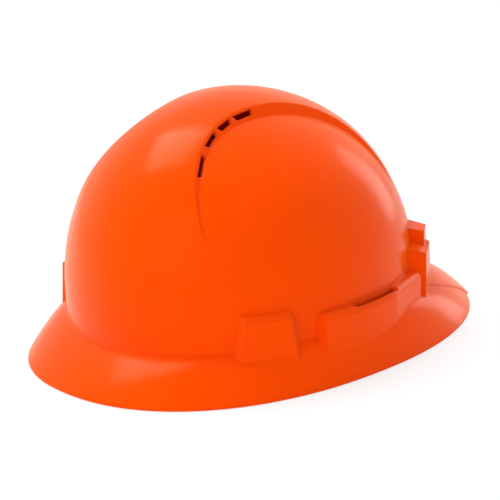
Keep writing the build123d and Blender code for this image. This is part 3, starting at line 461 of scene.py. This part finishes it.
# %% Knitted cloth
knit_roughness, knit_sheen, knit_sheen_roughness, stitch_depth = 0.85, 0.3, 0.5, 0.25
knit_cloth, knit = finish_named("knitted_polyester_over_foam")
knit.inputs["Roughness"].default_value = knit_roughness
knit.inputs["Sheen Weight"].default_value = knit_sheen
knit.inputs["Sheen Roughness"].default_value = knit_sheen_roughness
spot = put(knit_cloth, "ShaderNodeTexCoord")
# Warp knit stitches are about 0.9 mm apart; they are drawn at 1.3 mm so that they show.
stitch_pitch = 1.3
stitches = put(knit_cloth, "ShaderNodeTexVoronoi", {"Scale": 1 / (stitch_pitch * MM)},
               {"Vector": spot.outputs["Object"]})
# Each stitch is painted lighter in its raised middle and darker towards its sunken edge, as painted shade
# in the gaps between stitches.
stitch_colour_with_painted_shade = two_tone(knit_cloth, stitches.outputs["Distance"], "#35353B", "#131315")
knit_cloth.node_tree.links.new(stitch_colour_with_painted_shade, knit.inputs["Base Color"])
stitch_look = {"Strength": 0.5, "Distance": stitch_depth * MM, "invert": True}
stitch_relief = put(knit_cloth, "ShaderNodeBump", stitch_look, {"Height": stitches.outputs["Distance"]})
knit_cloth.node_tree.links.new(stitch_relief.outputs["Normal"], knit.inputs["Normal"])
print("cloth", knit_cloth.name)

# %% Pad builder
# Shares are of the pad's own length or width. A channel keeps channel_floor of the full
# swell, and the back fills out back_swell times as soon as the front.
channel_floor = 0.62
back_swell = 3
weld_distance = 0.02


def foam_pad(name, place, across_steps, along_steps, channels, channel_share, rim_share):
    """A quilted closed pad. place(u, v, w) gives millimetres for u, v and depth w in 0 to 1."""
    def swell(u, v):
        edge_u = min(u, 1 - u) / rim_share[0]
        edge_v = min(v, 1 - v) / rim_share[1]
        height = sqrt(1 - (1 - min(edge_u, 1)) ** 2) * sqrt(1 - (1 - min(edge_v, 1)) ** 2)
        for channel in channels:
            near = min(abs(v - channel) / channel_share, 1)
            height *= channel_floor + (1 - channel_floor) * sqrt(1 - (1 - near) ** 2)
        return height
    verts, faces = [], []
    columns = along_steps + 1
    for layer in (0, 1):
        for i in range(across_steps + 1):
            for j in range(columns):
                u, v = i / across_steps, j / along_steps
                front = (1 + swell(u, v)) / 2
                back = (1 - sqrt(min(1, swell(u, v) * back_swell))) / 2
                verts.append(place(u, v, front if layer else back) * MM)
    layer_size = (across_steps + 1) * columns
    for layer in (0, 1):
        for i in range(across_steps):
            for j in range(along_steps):
                a = layer * layer_size + i * columns + j
                quad = (a, a + 1, a + columns + 1, a + columns)
                faces.append(quad if layer else tuple(reversed(quad)))
    mesh = bpy.data.meshes.new(name)
    mesh.from_pydata(verts, [], faces)
    shape = bmesh.new()
    shape.from_mesh(mesh)
    bmesh.ops.remove_doubles(shape, verts=shape.verts, dist=weld_distance * MM)
    bmesh.ops.recalc_face_normals(shape, faces=shape.faces)
    shape.to_mesh(mesh)
    shape.free()
    mesh.shade_smooth()
    pad = bpy.data.objects.new(name, mesh)
    bpy.context.scene.collection.objects.link(pad)
    smoother = pad.modifiers.new("smooth", "SUBSURF")
    smoother.levels = smoother.render_levels = 1
    pad.data.materials.append(knit_cloth)
    return pad


# Millimetres and degrees, from the band, housing and straps that each pad lies against
band_half_width, band_half_length, band_y = 84.3, 101.0, -12.0
brow_half_angle, brow_gap, brow_thickness, brow_foot, brow_height = 43.0, 1.3, 5.0, 12.0, 28.0
nape_half_angle, nape_radius, nape_thickness, nape_foot, nape_height = 26.0, 74.7, 5.1, 8.0, 26.0
nape_y = 10.5
crown_radius, crown_dome, crown_top, crown_thickness, crown_y = 32.0, 76.0, 126.8, 6.0, 3.93


def brow_place(u, v, w):
    """The brow pad runs along the inside of the headband, across the forehead."""
    angle = radians(brow_half_angle * (2 * v - 1) - 90)
    out = Vector((cos(angle) / band_half_width, sin(angle) / band_half_length, 0)).normalized()
    line = Vector((band_half_width * cos(angle), band_y + band_half_length * sin(angle), 0))
    return line - out * (brow_gap + brow_thickness * w) + Vector((0, 0, brow_foot + brow_height * u))


brow = foam_pad("brow_cushion", brow_place, across_steps=20, along_steps=96,
                channels=[k / 8 for k in range(1, 8)], channel_share=0.018, rim_share=(0.16, 0.04))
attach(brow, "hat")
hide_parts("brow_pad")


def nape_place(u, v, w):
    """The nape pad lines the head side of the ratchet housing."""
    angle = radians(nape_half_angle * (2 * v - 1))
    radius = nape_radius - nape_thickness * w
    return Vector((radius * sin(angle), nape_y + radius * cos(angle), nape_foot + nape_height * u))


nape = foam_pad("nape_cushion", nape_place, across_steps=20, along_steps=60,
                channels=[k / 4 for k in range(1, 4)], channel_share=0.03, rim_share=(0.18, 0.08))
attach(nape, "nape")
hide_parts("nape_pad")


def crown_place(u, v, w):
    """The crown pad is a round dish; a square is mapped to it by drawing its corners in."""
    x, y = 2 * u - 1, 2 * v - 1
    round_x, round_y = x * sqrt(1 - y * y / 2), y * sqrt(1 - x * x / 2)
    sink = crown_dome - sqrt(crown_dome ** 2 - (crown_radius * hypot(round_x, round_y)) ** 2)
    middle = Vector((0, crown_y, crown_top - sink - crown_thickness * w))
    return middle + Vector((crown_radius * round_x, crown_radius * round_y, 0))


crown_cushion = foam_pad("crown_cushion", crown_place, across_steps=40, along_steps=40,
                         channels=[1 / 3, 2 / 3], channel_share=0.05, rim_share=(0.12, 0.12))
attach(crown_cushion, "hat")
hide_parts("crown_pad")
print("pads", brow.name, nape.name, crown_cushion.name)
